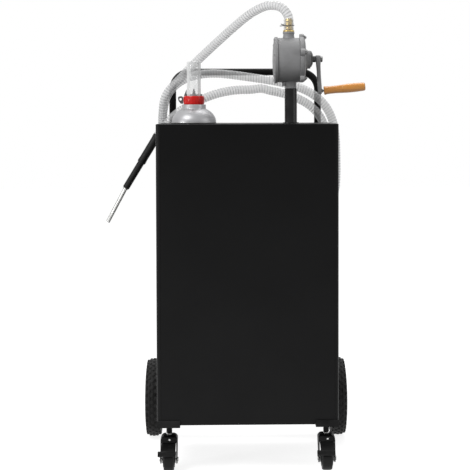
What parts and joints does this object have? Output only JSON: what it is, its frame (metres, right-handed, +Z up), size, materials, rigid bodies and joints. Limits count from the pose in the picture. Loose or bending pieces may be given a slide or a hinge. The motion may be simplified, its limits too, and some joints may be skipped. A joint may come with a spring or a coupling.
{
  "type": "fuel caddy",
  "caption": "Upright black steel fuel tank on casters and rear wheels, with a rotary hand pump, filler with float gauge, push handle and coiled clear hose with nozzle.",
  "frame": {"origin": "on the floor, below the middle of the caddy's outline, measured without the hose and its nozzle", "axes": "+X from the filler towards the crank's grip, +Y from the casters towards the rear wheels, +Z up"},
  "size_m": [0.7812, 0.547, 1.3432],
  "materials": {
    "black_paint": "satin black paint",
    "spun_metal": "spun, satin",
    "red_plastic": "gloss red",
    "dark_plastic": "matte dark grey",
    "clear_plastic": "clear",
    "black_rubber": "matte black",
    "tyre_rubber": "matte black",
    "cast_metal": "cast, light grey",
    "bright_steel": "plated",
    "dark_steel": "blackened",
    "brass": "dull",
    "wood": "varnished",
    "float_foam": "foam"
  },
  "bodies": {
    "chassis": {"tank": "black_paint", "filler_gasket": "black_rubber", "filler_dome": "spun_metal", "pump_housing": "cast_metal", "pump_rear_cover": "cast_metal", "pump_front_cover": "cast_metal", "packing_nut": "cast_metal", "suction_pipe": "black_paint", "bung_ring": "black_paint", "foot_strainer": "brass", "outlet_barb": "brass", "hose_end": "clear_plastic", "hose_clamp": "bright_steel", "hose_lead": "clear_plastic", "hose_coil": "clear_plastic", "hose_tail": "clear_plastic", "nozzle_grip": "black_rubber", "nozzle_barrel": "black_rubber", "nozzle_spout": "bright_steel", "push_handle": "black_paint", "handle_brace": "black_paint", "hose_hook_left": "black_paint", "hose_hook_right": "black_paint", "axle": "bright_steel", "axle_tube": "black_paint", "axle_bracket_left": "black_paint", "axle_bracket_right": "black_paint", "caster_bracket_left": "black_paint", "caster_bracket_right": "black_paint"},
    "crank": {"pump_rotor": "dark_steel", "vane_1": "dark_plastic", "vane_2": "dark_plastic", "vane_3": "dark_plastic", "vane_4": "dark_plastic", "crank_arm": "cast_metal", "crank_nut": "dark_steel", "grip_spindle": "dark_steel"},
    "grip": {"wooden_grip": "wood"},
    "cap": {"filler_cap": "red_plastic", "lock_lug": "dark_plastic", "tube_clip": "dark_plastic", "sight_tube": "clear_plastic", "gauge_stem": "bright_steel"},
    "float_arm": {"float_arm": "bright_steel", "float": "float_foam"},
    "indicator": {"gauge_indicator": "float_foam"},
    "rear_wheel_left": {"tyre_left": "tyre_rubber", "rim_left": "black_paint"},
    "swivel_left": {"caster_stem_left": "bright_steel", "caster_fork_left": "black_paint"},
    "caster_wheel_left": {"caster_wheel_left": "black_rubber", "caster_axle_left": "bright_steel"},
    "brake_left": {"caster_brake_left": "black_paint"},
    "rear_wheel_right": {"tyre_right": "tyre_rubber", "rim_right": "black_paint"},
    "swivel_right": {"caster_stem_right": "bright_steel", "caster_fork_right": "black_paint"},
    "caster_wheel_right": {"caster_wheel_right": "black_rubber", "caster_axle_right": "bright_steel"},
    "brake_right": {"caster_brake_right": "black_paint"}
  },
  "joints": [
    {"name": "rear_wheel_left_spin", "type": "hinge", "parent": "chassis", "child": "rear_wheel_left", "pos_m": [-0.30876, 0.15487, 0.1203], "axis": [1, 0, 0], "continuous": true},
    {"name": "swivel_left_turn", "type": "hinge", "parent": "chassis", "child": "swivel_left", "pos_m": [-0.24157, -0.20413, 0.1], "axis": [0, 0, 1], "continuous": true},
    {"name": "caster_wheel_left_spin", "type": "hinge", "parent": "swivel_left", "child": "caster_wheel_left", "pos_m": [-0.24157, -0.23113, 0.0335], "axis": [1, 0, 0], "continuous": true},
    {"name": "brake_left_pivot", "type": "hinge", "parent": "swivel_left", "child": "brake_left", "pos_m": [-0.24157, -0.21613, 0.0805], "axis": [1, 0, 0], "range_deg": [0, 8]},
    {"name": "rear_wheel_right_spin", "type": "hinge", "parent": "chassis", "child": "rear_wheel_right", "pos_m": [0.27424, 0.15487, 0.1203], "axis": [1, 0, 0], "continuous": true},
    {"name": "swivel_right_turn", "type": "hinge", "parent": "chassis", "child": "swivel_right", "pos_m": [0.20703, -0.20413, 0.1], "axis": [0, 0, 1], "continuous": true},
    {"name": "caster_wheel_right_spin", "type": "hinge", "parent": "swivel_right", "child": "caster_wheel_right", "pos_m": [0.20703, -0.23113, 0.0335], "axis": [1, 0, 0], "continuous": true},
    {"name": "brake_right_pivot", "type": "hinge", "parent": "swivel_right", "child": "brake_right", "pos_m": [0.20703, -0.21613, 0.0805], "axis": [1, 0, 0], "range_deg": [0, 8]},
    {"name": "crank_turn", "type": "hinge", "parent": "chassis", "child": "crank", "pos_m": [0.18634, -0.08413, 1.1722], "axis": [1, 0, 0], "continuous": true},
    {"name": "grip_spin", "type": "hinge", "parent": "crank", "child": "grip", "pos_m": [0.20483, -0.08413, 1.0792], "axis": [0.9954, 0, 0.0958], "continuous": true},
    {"name": "cap_lift", "type": "slide", "parent": "chassis", "child": "cap", "axis": [0, 0, 1], "range_m": [0, 0.06]},
    {"name": "float_swing", "type": "hinge", "parent": "cap", "child": "float_arm", "pos_m": [-0.18677, -0.08023, 0.6576], "axis": [-0.2419, -0.9703, 0], "range_deg": [0, 80]},
    {"name": "indicator_rise", "type": "slide", "parent": "cap", "child": "indicator", "axis": [0, 0, 1], "range_m": [0, 0.0358]}
  ],
  "couplings": [
    {"joint": "indicator_rise", "follows": "float_swing", "m_per_rad": 0.0255}
  ]
}
